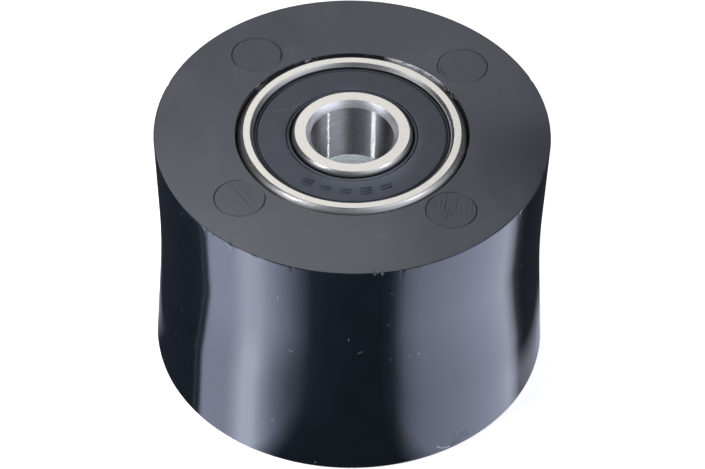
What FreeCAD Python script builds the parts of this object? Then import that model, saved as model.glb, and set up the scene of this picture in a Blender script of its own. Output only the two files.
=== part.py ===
"""Grooved guide roller on two sealed ball bearings, as a parametric FreeCAD document.

A moulded plastic roller with a waisted running surface turns on two 608-size deep-groove ball bearings.
The bearings are pressed into seats at the two ends, and a steel spacer sleeve keeps their inner rings apart.
Each bearing has an outer ring, an inner ring, seven balls, a riveted two-piece sheet cage, and two rubber
seals, each moulded on a steel washer.

Millimetres. +Z runs along the bore, and the origin is the centre of the bore at mid-width.
Each bearing is drawn about its own centre with its outboard side towards +Z, then placed in the roller:
the upper one as drawn, and the lower one turned over.
"""

import FreeCAD
import Part
import Sketcher
import math
import os
import re
import sys

SIZES = [
    # the whole part
    ("stack_width", 27.0, "over the outer faces of the two bearings"),
    ("body_width", 26.6, "over the end faces of the plastic roller"),
    ("rim_radius", 19.0, "roller at its rims"),
    ("waist_radius", 18.47, "roller at its waist"),
    ("waist_arc_radius", 96.0, "arc of the waist, tangent to the straight flanks"),
    ("rim_edge", 0.15, "rounding of the rims"),
    ("mouth_chamfer", 0.2, "lead-in of a bearing seat"),
    ("web_bore_radius", 9.0, "web between the two bearing seats"),
    ("web_chamfer", 0.4, "edges of the web's bore"),
    ("mark_radius", 2.42, "ejector pin mark"),
    ("mark_circle_radius", 14.14, "circle that the ejector pin marks lie on"),
    ("mark_turn", 41.8, "first ejector pin mark from +X, in degrees"),
    ("mark_depth", 0.06, "ejector pin mark below the face"),
    ("mark_count", 4, "ejector pin marks"),
    # the sleeve between the inner rings
    ("sleeve_bore_radius", 4.1, "a little over the bearing bore"),
    ("sleeve_radius", 5.5, "outside of the sleeve"),
    ("sleeve_chamfer", 0.2, "edges of the sleeve"),
    # boundary sizes of a bearing
    ("bore_radius", 4.0, "bore of the inner ring"),
    ("bearing_radius", 11.0, "outside of the outer ring"),
    ("bearing_width", 7.0, "width of the rings"),
    ("ring_corner", 0.45, "rounding of the rings' corners"),
    # balls and raceways
    ("ball_count", 7, "balls in a bearing"),
    ("ball_radius", 1.9845, "5/32 inch ball"),
    ("pitch_radius", 7.5, "circle through the ball centres"),
    ("race_radius", 2.1, "raceway groove, 0.53 of the ball's diameter"),
    ("race_play", 0.01, "between a ball and the bottom of a raceway"),
    ("inner_shoulder", 6.05, "inner ring beside its raceway"),
    ("outer_shoulder", 8.95, "outer ring beside its raceway"),
    # seal seats in the rings, heights above the bearing's middle plane
    ("inner_nose", 5.57, "outer edge of the inner ring's face"),
    ("nose_bottom", 3.05, "foot of the slope below that edge"),
    ("seal_land", 5.72, "where the seal's lip rides"),
    ("land_bottom", 2.42, "lower end of that land"),
    ("shoulder_top", 2.3, "top of the inner ring's shoulder"),
    ("face_inner", 9.74, "inner edge of the outer ring's face"),
    ("lip_height", 3.18, "edge of the lip that holds the seal in"),
    ("lip_radius", 9.5, "that edge's radius"),
    ("groove_radius", 9.66, "bottom of the seal's groove"),
    ("groove_top", 3.05, "upper end of the groove's bottom"),
    ("groove_foot", 2.55, "lower end of the groove's bottom"),
    ("ledge_height", 2.42, "ledge that the seal rests on"),
    # seals
    ("seal_top", 3.05, "flat face of the seal"),
    ("seal_play", 0.03, "between the seal's bead and its groove"),
    ("lip_play", 0.04, "between the seal's lip and the inner ring"),
    ("lip_top", 2.97, "top of the lip's tip"),
    ("lip_foot", 2.8, "bottom of the lip's tip"),
    ("lip_bead_top", 3.12, "top of the raised bead on the lip"),
    ("lip_bead_inner", 5.92, "inner edge of that bead"),
    ("lip_bead_outer", 6.2, "outer edge of that bead"),
    ("lip_root", 6.12, "where the lip leaves the washer"),
    ("washer_inner", 6.3, "hole of the washer"),
    ("washer_outer", 9.2, "outside of the washer"),
    ("washer_top", 2.75, "upper face of the washer"),
    ("washer_foot", 2.5, "lower face of the washer"),
    # cage
    ("cage_sheet", 0.2, "thickness of the cage's sheet"),
    ("cage_play", 0.05, "between a ball and its pocket"),
    ("cage_inner", 6.7, "inside of the cage"),
    ("cage_outer", 8.3, "outside of the cage"),
    ("rivet_radius", 0.3, "shank of a cage rivet"),
    ("rivet_head_radius", 0.5, "head of a cage rivet"),
    ("rivet_head", 0.15, "height of a rivet's head"),
]
ALIASES = {alias for alias, _, _ in SIZES}

UPPER = "upper"
LOWER = "lower"
SIDE = {UPPER: "1", LOWER: "-1"}  # the side of the mid-plane that a bearing lies on
OVER = FreeCAD.Rotation(FreeCAD.Vector(1, 0, 0), 180)
EDGE_FIT = 1e-4  # mm, how closely an edge has to match the circle asked for
VOLUME_STEP = 1e-6  # mm3, the least that a cut has to take away

HALF_BODY = "body_width / 2"
HALF_RING = "bearing_width / 2"
SEAT_FLOOR = "stack_width / 2 - bearing_width"
BEARING_HEIGHT = "( stack_width - bearing_width ) / 2"

doc = FreeCAD.newDocument("guide_roller")
sheet = doc.addObject("Spreadsheet::Sheet", "sizes")
for row, (alias, value, meaning) in enumerate(SIZES, start=1):
    sheet.set(f"A{row}", str(value))
    sheet.setAlias(f"A{row}", alias)
    sheet.set(f"B{row}", meaning)
doc.recompute()

nodes = []  # the finished sub-parts


# ---------------------------------------------------------------- helpers


def number(expression):
    """The value of an expression in the sheet's aliases."""
    return float(sheet.evalExpression(expression))


def bound(expression):
    """The same expression as another object of the document writes it."""
    return re.sub(r"[a-z_]+", lambda word: ("sizes." if word[0] in ALIASES else "") + word[0], expression)


def bind(thing, **expressions):
    """Binds properties of an object to expressions in the sheet's aliases."""
    for name, expression in expressions.items():
        thing.setExpression(name, bound(expression))
    return thing


def origin_feature(body, role):
    """One of a body's own origin planes or axes."""
    return next(feature for feature in body.Origin.OriginFeatures if feature.Role == role)


def new_body(label):
    body = doc.addObject("PartDesign::Body", label)
    body.Label = label
    return body


def new_sketch(body, name, plane, height=None):
    """A sketch on one of the body's origin planes, lifted off it if a height is given."""
    sketch = body.newObject("Sketcher::SketchObject", name)
    sketch.AttachmentSupport = (origin_feature(body, plane), [""])
    sketch.MapMode = "FlatFace"
    if height:
        sketch.setExpression(".AttachmentOffset.Base.z", bound(height))
    return sketch


def fix(sketch, kind, *where, to):
    """A dimension in a sketch, bound to the sheet."""
    index = sketch.addConstraint(Sketcher.Constraint(kind, *where, number(to)))
    sketch.setExpression(f"Constraints[{index}]", bound(to))


def pin(sketch, curve, end, radius, height, side=1):
    """Fixes one end of a curve at a radius, and at a height above (1) or below (-1) the mid-plane."""
    fix(sketch, "DistanceX", -1, 1, curve, end, to=radius)
    if side > 0:
        fix(sketch, "DistanceY", -1, 1, curve, end, to=height)
    else:
        fix(sketch, "DistanceY", curve, end, -1, 1, to=height)


def symmetric_outline(sketch, corners):
    """A closed outline through corners (radius, height) above the mid-plane and their mirror images."""
    ends = [(r, z, 1) for r, z in corners] + [(r, z, -1) for r, z in reversed(corners)]
    line_through(sketch, ends)


def line_through(sketch, ends):
    """A closed outline of straight lines through corners (radius, height, side of the mid-plane)."""
    points = [FreeCAD.Vector(number(r), side * number(z), 0) for r, z, side in ends]
    lines = [Part.LineSegment(a, b) for a, b in zip(points, points[1:] + points[:1])]
    sketch.addGeometry(lines, False)
    for i, (radius, height, side) in enumerate(ends):
        sketch.addConstraint(Sketcher.Constraint("Coincident", i, 2, (i + 1) % len(ends), 1))
        pin(sketch, i, 1, radius, height, side)


def turn(body, sketch, kind="PartDesign::Revolution"):
    """The sketch turned about Z, to add material or, as a Groove, to cut it away."""
    feature = body.newObject(kind, f"{sketch.Name}_turned")
    feature.Profile = sketch
    feature.ReferenceAxis = (sketch, ["V_Axis"])
    feature.Angle = 360
    doc.recompute()
    return feature


def round_edges(feature, radius, height):
    """The names of a feature's round edges about Z with a radius, at a height above and below."""
    names = []
    for index, edge in enumerate(feature.Shape.Edges, start=1):
        if isinstance(edge.Curve, Part.Circle):
            centre = edge.Curve.Center
            miss = math.hypot(centre.x, centre.y) + abs(edge.Curve.Radius - radius)
            if miss + abs(abs(centre.z) - height) < EDGE_FIT:
                names.append(f"Edge{index}")
    if len(names) != 2:
        sys.exit(f"{feature.Name} has {len(names)} edges of radius {radius} at height {height}")
    return names


def ease(body, kind, radius, height, size):
    """A Fillet or a Chamfer on the round edges at a radius and a height, above and below."""
    base = body.Tip
    edges = round_edges(base, number(radius), number(height))
    feature = body.newObject(f"PartDesign::{kind}", f"{body.Name}_{radius}_{kind.lower()}")
    feature.Base = (base, edges)
    feature.setExpression("Radius" if kind == "Fillet" else "Size", bound(size))
    body.Tip = feature
    doc.recompute()


def check_cut(feature, volume):
    """Stops if a cut left as much material as there was before."""
    if feature.Shape.Volume > volume - VOLUME_STEP:
        sys.exit(f"{feature.Name} cuts nothing")


def keep(thing, label, bearing=None):
    """Names a finished sub-part and, if it belongs to a bearing, moves it into that bearing's place."""
    thing.Label = label
    if bearing:
        rotation = OVER if bearing == LOWER else FreeCAD.Rotation()
        thing.Placement = FreeCAD.Placement(thing.Placement.Base, rotation * thing.Placement.Rotation)
        thing.setExpression(".Placement.Base.z", bound(f"{SIDE[bearing]} * {BEARING_HEIGHT}"))
    nodes.append(thing)


# ---------------------------------------------------------------- roller body


def draw_roller_section(sketch):
    """Half section of the roller: waisted running surface, end faces, two bearing seats and the web."""
    inside = [
        ("rim_radius", HALF_BODY, -1),
        ("bearing_radius", HALF_BODY, -1),
        ("bearing_radius", SEAT_FLOOR, -1),
        ("web_bore_radius", SEAT_FLOOR, -1),
        ("web_bore_radius", SEAT_FLOOR, 1),
        ("bearing_radius", SEAT_FLOOR, 1),
        ("bearing_radius", HALF_BODY, 1),
        ("rim_radius", HALF_BODY, 1),
    ]
    points = [FreeCAD.Vector(number(r), side * number(z), 0) for r, z, side in inside]
    low_rim, rim = points[0], points[-1]

    # the flank meets the waist's arc as a tangent, where it is square to the arc's radius
    arc_radius = number("waist_arc_radius")
    waist = FreeCAD.Vector(number("waist_radius"), 0, 0)
    centre = waist + FreeCAD.Vector(arc_radius, 0, 0)
    to_rim = rim - centre
    angle = math.atan2(to_rim.y, to_rim.x) + math.acos(arc_radius / to_rim.Length)
    meet = centre + FreeCAD.Vector(math.cos(angle), math.sin(angle), 0) * arc_radius
    low_meet = FreeCAD.Vector(meet.x, -meet.y, 0)

    upper_flank, arc, lower_flank, first = range(4)
    sketch.addGeometry(Part.LineSegment(rim, meet), False)
    sketch.addGeometry(Part.Arc(meet, waist, low_meet), False)
    sketch.addGeometry(Part.LineSegment(low_meet, low_rim), False)
    sketch.addGeometry([Part.LineSegment(a, b) for a, b in zip(points, points[1:])], False)
    last = first + len(points) - 2

    for join in [(upper_flank, 2, arc, 1), (arc, 2, lower_flank, 1)]:
        sketch.addConstraint(Sketcher.Constraint("Tangent", *join))
    sketch.addConstraint(Sketcher.Constraint("PointOnObject", arc, 3, -1))
    fix(sketch, "DistanceX", -1, 1, arc, 3, to="waist_radius + waist_arc_radius")
    fix(sketch, "Radius", arc, to="waist_arc_radius")
    sketch.addConstraint(Sketcher.Constraint("Coincident", lower_flank, 2, first, 1))
    sketch.addConstraint(Sketcher.Constraint("Coincident", last, 2, upper_flank, 1))
    for line in range(first, last):
        sketch.addConstraint(Sketcher.Constraint("Coincident", line, 2, line + 1, 1))
    for line, corner in enumerate(inside[:-1], start=first):
        pin(sketch, line, 1, *corner)
    pin(sketch, last, 2, *inside[-1])


def press_ejector_marks(body):
    """The shallow round marks that four ejector pins leave in the upper end face."""
    sketch = new_sketch(body, "ejector_pin_outline", "XY_Plane", HALF_BODY)
    across = "mark_circle_radius * cos( mark_turn * 1 deg )"
    along = "mark_circle_radius * sin( mark_turn * 1 deg )"
    centre = FreeCAD.Vector(number(across), number(along), 0)
    sketch.addGeometry(Part.Circle(centre, FreeCAD.Vector(0, 0, 1), number("mark_radius")), False)
    fix(sketch, "Radius", 0, to="mark_radius")
    pin(sketch, 0, 3, across, along)
    doc.recompute()

    volume = body.Shape.Volume
    pocket = body.newObject("PartDesign::Pocket", "ejector_pin_mark")
    pocket.Profile = sketch
    bind(pocket, Length="mark_depth")
    doc.recompute()
    check_cut(pocket, volume)

    volume = pocket.Shape.Volume
    pattern = body.newObject("PartDesign::PolarPattern", "ejector_pin_marks")
    pattern.Originals = [pocket]
    pattern.Axis = (origin_feature(body, "Z_Axis"), [""])
    pattern.Angle = 360
    bind(pattern, Occurrences="mark_count")
    body.Tip = pattern
    doc.recompute()
    check_cut(pattern, volume)


def make_roller_body():
    body = new_body("roller_body")
    sketch = new_sketch(body, "roller_section", "XZ_Plane")
    draw_roller_section(sketch)
    turn(body, sketch)
    ease(body, "Fillet", "rim_radius", HALF_BODY, "rim_edge")
    ease(body, "Chamfer", "bearing_radius", HALF_BODY, "mouth_chamfer")
    ease(body, "Chamfer", "web_bore_radius", SEAT_FLOOR, "web_chamfer")
    press_ejector_marks(body)
    keep(body, "roller_body")


# ---------------------------------------------------------------- spacer sleeve


def make_spacer_sleeve():
    """Plain tube that fills the gap between the two inner rings."""
    body = new_body("spacer_sleeve")
    sketch = new_sketch(body, "sleeve_section", "XZ_Plane")
    symmetric_outline(sketch, [("sleeve_radius", SEAT_FLOOR), ("sleeve_bore_radius", SEAT_FLOOR)])
    turn(body, sketch)
    for radius in ("sleeve_radius", "sleeve_bore_radius"):
        ease(body, "Chamfer", radius, SEAT_FLOOR, "sleeve_chamfer")
    keep(body, "spacer_sleeve")


# ---------------------------------------------------------------- bearing rings


def make_ring(bearing, name, corners, race_centre, corner_edge):
    """A ring turned from half its section, with a ball groove and two rounded corners."""
    body = new_body(f"{bearing}_{name}")
    sketch = new_sketch(body, f"{body.Name}_section", "XZ_Plane")
    symmetric_outline(sketch, corners)
    turn(body, sketch)

    volume = body.Shape.Volume
    race = new_sketch(body, f"{body.Name}_race", "XZ_Plane")
    centre = FreeCAD.Vector(number(race_centre), 0, 0)
    race.addGeometry(Part.Circle(centre, FreeCAD.Vector(0, 0, 1), number("race_radius")), False)
    race.addConstraint(Sketcher.Constraint("PointOnObject", 0, 3, -1))
    fix(race, "DistanceX", -1, 1, 0, 3, to=race_centre)
    fix(race, "Radius", 0, to="race_radius")
    check_cut(turn(body, race, "PartDesign::Groove"), volume)

    ease(body, "Fillet", corner_edge, HALF_RING, "ring_corner")
    keep(body, body.Name, bearing)


def make_outer_ring(bearing):
    corners = [
        ("bearing_radius", HALF_RING),
        ("face_inner", HALF_RING),
        ("lip_radius", "lip_height"),
        ("groove_radius", "groove_top"),
        ("groove_radius", "groove_foot"),
        ("lip_radius", "ledge_height"),
        ("outer_shoulder", "ledge_height"),
    ]
    race_centre = "pitch_radius + ball_radius + race_play - race_radius"
    make_ring(bearing, "outer_ring", corners, race_centre, "bearing_radius")


def make_inner_ring(bearing):
    corners = [
        ("bore_radius", HALF_RING),
        ("inner_nose", HALF_RING),
        ("seal_land", "nose_bottom"),
        ("seal_land", "land_bottom"),
        ("inner_shoulder", "shoulder_top"),
    ]
    race_centre = "pitch_radius - ball_radius - race_play + race_radius"
    make_ring(bearing, "inner_ring", corners, race_centre, "bore_radius")


# ---------------------------------------------------------------- seals


def make_turned(bearing, name, inboard, corners):
    """A piece turned from an outline on the outboard side, or on the inboard side if asked."""
    body = new_body(f"{bearing}_{name}")
    sketch = new_sketch(body, f"{body.Name}_section", "XZ_Plane")
    line_through(sketch, [(r, z, -1 if inboard else 1) for r, z in corners])
    turn(body, sketch)
    keep(body, body.Name, bearing)


def make_seal(bearing, inboard):
    """Rubber seal held in the outer ring's groove, and the steel washer that stiffens it."""
    name = "inboard_seal" if inboard else "outboard_seal"
    rubber = [
        ("seal_land + lip_play", "lip_top"),
        ("seal_land + lip_play", "lip_foot"),
        ("lip_root", "washer_foot"),
        ("washer_inner", "washer_foot"),
        ("washer_inner", "washer_top"),
        ("washer_outer", "washer_top"),
        ("washer_outer", "ledge_height"),
        ("lip_radius - seal_play", "ledge_height"),
        ("groove_radius - seal_play", "groove_foot"),
        ("groove_radius - seal_play", "groove_top - seal_play"),
        ("lip_radius - seal_play", "seal_top"),
        ("lip_bead_outer", "seal_top"),
        ("lip_bead_outer - 0.08", "lip_bead_top"),
        ("lip_bead_inner + 0.08", "lip_bead_top"),
        ("lip_bead_inner", "lip_top"),
    ]
    washer = [
        ("washer_inner", "washer_top"),
        ("washer_inner", "washer_foot"),
        ("washer_outer", "washer_foot"),
        ("washer_outer", "washer_top"),
    ]
    make_turned(bearing, name, inboard, rubber)
    make_turned(bearing, f"{name}_washer", inboard, washer)


# ---------------------------------------------------------------- balls and cage


def station(axis, index, reach="pitch_radius"):
    """Expression for x or y of a place on the pitch circle; a half index lies between two balls."""
    return f"{reach} * {'cos' if axis == 'x' else 'sin'}( 360 deg * {index} / ball_count )"


def put(thing, index, side="1", height="0 mm"):
    """Moves a primitive to a place on the pitch circle."""
    thing.setExpression(".Placement.Base.x", bound(station("x", index)))
    thing.setExpression(".Placement.Base.y", bound(f"{side} * {station('y', index)}"))
    thing.setExpression(".Placement.Base.z", bound(height))
    return thing


def primitive(kind, name, **expressions):
    return bind(doc.addObject(f"Part::{kind}", name), **expressions)


def combined(kind, name, things):
    """A MultiFuse, a MultiCommon or a Compound of things."""
    result = doc.addObject(f"Part::{kind}", name)
    setattr(result, "Links" if kind == "Compound" else "Shapes", things)
    return result


def cut(name, base, tool):
    result = doc.addObject("Part::Cut", name)
    result.Base = base
    result.Tool = tool
    return result


def tube(name, thickness):
    """The cage's annulus, standing on the middle plane."""
    disc = primitive("Cylinder", f"{name}_disc", Radius="cage_outer", Height=thickness)
    hole = primitive("Cylinder", f"{name}_hole", Radius="cage_inner", Height=thickness)
    return cut(name, disc, hole)


def make_cage_half(bearing, inboard):
    """One half of a cage: a flat ring of sheet, domed over each ball, with a hole for each rivet."""
    name = f"{bearing}_cage_{'inboard' if inboard else 'outboard'}_half"
    count = int(number("ball_count"))
    shell_radius = "ball_radius + cage_play + cage_sheet"
    shells, hollows, holes = [], [], []
    for i in range(count):
        shell = primitive("Sphere", f"{name}_shell_{i + 1}", Radius=shell_radius)
        hollow = primitive("Sphere", f"{name}_hollow_{i + 1}", Radius="ball_radius + cage_play")
        hole = primitive("Cylinder", f"{name}_rivet_hole_{i + 1}", Radius="rivet_radius", Height="cage_sheet")
        shells.append(put(shell, i))
        hollows.append(put(hollow, i))
        holes.append(put(hole, i + 0.5))
    wall = tube(f"{name}_wall", shell_radius)
    domes = combined("MultiCommon", f"{name}_domes", [wall, combined("Compound", f"{name}_shells", shells)])
    blank = combined("MultiFuse", f"{name}_blank", [tube(f"{name}_flat", "cage_sheet"), domes])
    half = cut(name, blank, combined("Compound", f"{name}_openings", hollows + holes))
    if inboard:
        half.Placement = FreeCAD.Placement(FreeCAD.Vector(), OVER)
    keep(half, name, bearing)


def make_rivets(bearing):
    """The rivets that hold the two halves of a cage together."""
    rivets = []
    for i in range(int(number("ball_count"))):
        name = f"{bearing}_rivet_{i + 1}"
        shank = primitive("Cylinder", f"{name}_shank", Radius="rivet_radius", Height="2 * cage_sheet")
        low = primitive("Cylinder", f"{name}_low_head", Radius="rivet_head_radius", Height="rivet_head")
        top = primitive("Cylinder", f"{name}_top_head", Radius="rivet_head_radius", Height="rivet_head")
        put(shank, i + 0.5, height="-cage_sheet")
        put(low, i + 0.5, height="-cage_sheet - rivet_head")
        put(top, i + 0.5, height="cage_sheet")
        rivets.append(combined("MultiFuse", name, [low, shank, top]))
    keep(combined("Compound", f"{bearing}_cage_rivets", rivets), f"{bearing}_cage_rivets", bearing)


def make_balls(bearing):
    for i in range(int(number("ball_count"))):
        name = f"{bearing}_ball_{i + 1}"
        ball = put(primitive("Sphere", name, Radius="ball_radius"), i, side=SIDE[bearing])
        keep(ball, name, bearing)


# ---------------------------------------------------------------- build, check and write


def make_bearing(bearing):
    make_outer_ring(bearing)
    make_inner_ring(bearing)
    for inboard in (False, True):
        make_seal(bearing, inboard)
        make_cage_half(bearing, inboard)
    make_rivets(bearing)
    make_balls(bearing)


def check_document():
    """Stops if anything failed to compute, or a sub-part has no sound shape."""
    failed = [thing.Name for thing in doc.Objects if {"Invalid", "Error"} & set(thing.State)]
    for thing in nodes:
        if thing.Shape.isNull() or not thing.Shape.isValid() or not thing.Shape.Solids:
            failed.append(thing.Label)
    if failed:
        sys.exit("failed: " + ", ".join(failed))


make_roller_body()
make_spacer_sleeve()
for bearing in (UPPER, LOWER):
    make_bearing(bearing)
doc.recompute()
check_document()

os.makedirs("parts", exist_ok=True)
for node in nodes:
    node.Shape.exportStep(f"parts/{node.Label}.step")
print(f"{len(nodes)} sub-parts written")
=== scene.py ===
"""Looks for a waisted plastic guide roller on two sealed ball bearings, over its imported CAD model."""
import math
import random

import bmesh
import bpy
from mathutils import Matrix, Vector
from mathutils.geometry import delaunay_2d_cdt


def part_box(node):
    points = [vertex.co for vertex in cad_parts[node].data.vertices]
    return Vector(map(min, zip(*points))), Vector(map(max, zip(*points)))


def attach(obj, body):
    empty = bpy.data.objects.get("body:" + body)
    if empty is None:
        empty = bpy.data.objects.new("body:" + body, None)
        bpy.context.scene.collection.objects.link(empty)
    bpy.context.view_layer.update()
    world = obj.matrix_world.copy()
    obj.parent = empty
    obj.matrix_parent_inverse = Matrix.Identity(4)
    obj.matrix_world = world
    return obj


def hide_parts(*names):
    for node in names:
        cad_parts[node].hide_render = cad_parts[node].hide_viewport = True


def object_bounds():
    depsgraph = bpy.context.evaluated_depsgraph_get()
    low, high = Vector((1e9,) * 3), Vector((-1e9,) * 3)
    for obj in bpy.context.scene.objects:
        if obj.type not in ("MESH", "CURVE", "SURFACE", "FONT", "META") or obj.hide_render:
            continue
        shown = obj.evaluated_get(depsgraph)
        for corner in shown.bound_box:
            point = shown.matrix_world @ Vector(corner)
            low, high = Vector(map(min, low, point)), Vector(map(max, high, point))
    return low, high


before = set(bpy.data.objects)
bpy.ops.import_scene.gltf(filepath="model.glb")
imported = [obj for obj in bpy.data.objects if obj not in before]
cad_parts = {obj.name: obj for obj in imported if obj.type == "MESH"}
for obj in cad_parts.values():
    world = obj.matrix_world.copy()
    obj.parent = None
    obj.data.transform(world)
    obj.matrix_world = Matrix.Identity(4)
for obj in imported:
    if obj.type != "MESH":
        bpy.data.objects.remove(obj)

CAD_BOX = [list(corner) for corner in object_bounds()]
MM = 0.001
TAU = 2 * math.pi

# ---------------- places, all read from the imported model, in mm


def node_box(node):
    """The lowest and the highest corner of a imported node."""
    low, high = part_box(node)
    return [v / MM for v in low], [v / MM for v in high]


BODY_HIGH = node_box("roller_body")[1]
FACE = BODY_HIGH[2]                       # the roller's end face above the mid-plane
RIM = round(BODY_HIGH[0], 1)              # the roller at its rims
RING_LOW, RING_HIGH = node_box("upper_outer_ring")
RING_OUT = round(RING_HIGH[0], 1)         # outside of a bearing
BEARING_Z = (RING_LOW[2] + RING_HIGH[2]) / 2
HALF_RING = (RING_HIGH[2] - RING_LOW[2]) / 2
SLEEVE_OUT, _, SLEEVE_END = node_box("spacer_sleeve")[1]
SLEEVE_OUT = round(SLEEVE_OUT, 1)
FLOOR_Z = CAD_BOX[0][2] / MM - 0.02       # a hair below the lower rings, so that the two don't coincide

# ---------------- sizes that a box doesn't give, in mm

WAIST, WAIST_ARC = 18.47, 96.0            # radius, and the arc of the section
FLANK_LEAN = 2.77                         # slope of the flanks, in degrees
RIM_EDGE = 0.08                           # rounding of the rims
WEB_BORE, WEB_CHAMFER = 9.0, 0.4          # web between the bearing seats
# a mouth's section: how much wider than its seat, and how deep
MOUTH_EDGE = [(0.26, 0), (0.235, 0.03), (0.18, 0.14), (0.12, 0.27), (0.06, 0.41), (0.02, 0.54), (0, 0.6)]
BORE, SLEEVE_BORE = 4.0, 4.1
CHAMFER, INBOARD_CHAMFER = 0.65, 0.18     # depths of the bore's chamfers
CHAMFER_RUN = 0.7                         # a chamfer's width for a depth of 1
PITCH, BALL, RACE, PLAY = 7.5, 1.9845, 2.1, 0.01  # ball circle, ball, raceway groove, and the play between
MARK_REACH, MARK_RADIUS, MARK_EDGE = 14.14, 2.42, 2.6  # ejector pin mark: place, size, and its patch's size
MARK_STEPS = 240
MARK_SHIFT = (0.04, 0.28)                 # the pins' circle stands a little off the axis
MARK_TURNS = [math.radians(41.8 + 90 * i) for i in range(4)]
WELD = 1e-4                               # points closer than this are one


def mark_centre(turn):
    """Where an ejector pin mark stands on the end face."""
    return MARK_REACH * math.cos(turn) + MARK_SHIFT[0], MARK_REACH * math.sin(turn) + MARK_SHIFT[1]


# ---------------- mesh helpers


class Shape:
    """Vertices and faces collected in mm, then welded into one mesh."""

    def __init__(self):
        self.verts, self.faces, self.slots = [], [], []

    def add(self, verts, faces, slot=0):
        base = len(self.verts)
        self.verts += verts
        self.faces += [tuple(base + i for i in face) for face in faces]
        self.slots += [slot] * len(faces)

    def lathe(self, rows, angles, closed=False, slot=0, shift=None):
        """Rows (radius, height) turned about Z. shift(radius, height, angle) moves a point out and up."""
        verts = []
        for r, z in rows:
            for a in angles:
                dr, dz = shift(r, z, a) if shift else (0, 0)
                verts.append(((r + dr) * math.cos(a), (r + dr) * math.sin(a), z + dz))
        n, m = len(angles), len(rows)
        faces = []
        for i in range(m if closed else m - 1):
            j = (i + 1) % m
            for k in range(n):
                after = (k + 1) % n
                faces.append((i * n + k, i * n + after, j * n + after, j * n + k))
        self.add(verts, faces, slot)

    def build(self, name, materials, sharp=30):
        """The welded mesh as an object; edges that turn by more than sharp degrees stay crisp."""
        mesh = bpy.data.meshes.new(name)
        mesh.from_pydata([[c * MM for c in v] for v in self.verts], [], self.faces)
        for material in materials:
            mesh.materials.append(material)
        mesh.polygons.foreach_set("material_index", self.slots)
        bm = bmesh.new()
        bm.from_mesh(mesh)
        bmesh.ops.remove_doubles(bm, verts=bm.verts, dist=WELD * MM)
        bmesh.ops.recalc_face_normals(bm, faces=bm.faces)
        bm.to_mesh(mesh)
        bm.free()
        mesh.shade_smooth()
        mesh.set_sharp_from_angle(angle=math.radians(sharp))
        piece = bpy.data.objects.new(name, mesh)
        bpy.context.scene.collection.objects.link(piece)
        return piece


def arc(cr, cz, radius, start, end, steps):
    """Points of an arc in a section, between two angles in degrees."""
    turns = [math.radians(start + (end - start) * i / steps) for i in range(steps + 1)]
    return [(cr + radius * math.cos(t), cz + radius * math.sin(t)) for t in turns]


def run(a, b, steps):
    """Points of a straight run, without its last one."""
    return [(a[0] + (b[0] - a[0]) * i / steps, a[1] + (b[1] - a[1]) * i / steps) for i in range(steps)]


def mirror(rows):
    """Rows turned upside down, from last to first."""
    return [(r, -z) for r, z in reversed(rows)]


def circle(count):
    """Evenly spaced angles."""
    return [TAU * i / count for i in range(count)]


def bump(distance, width):
    """A bell curve: 1 in the middle, near 0 beyond twice its width."""
    return math.exp(-(distance / width) ** 2)


# ---------------- node-tree helpers


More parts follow.
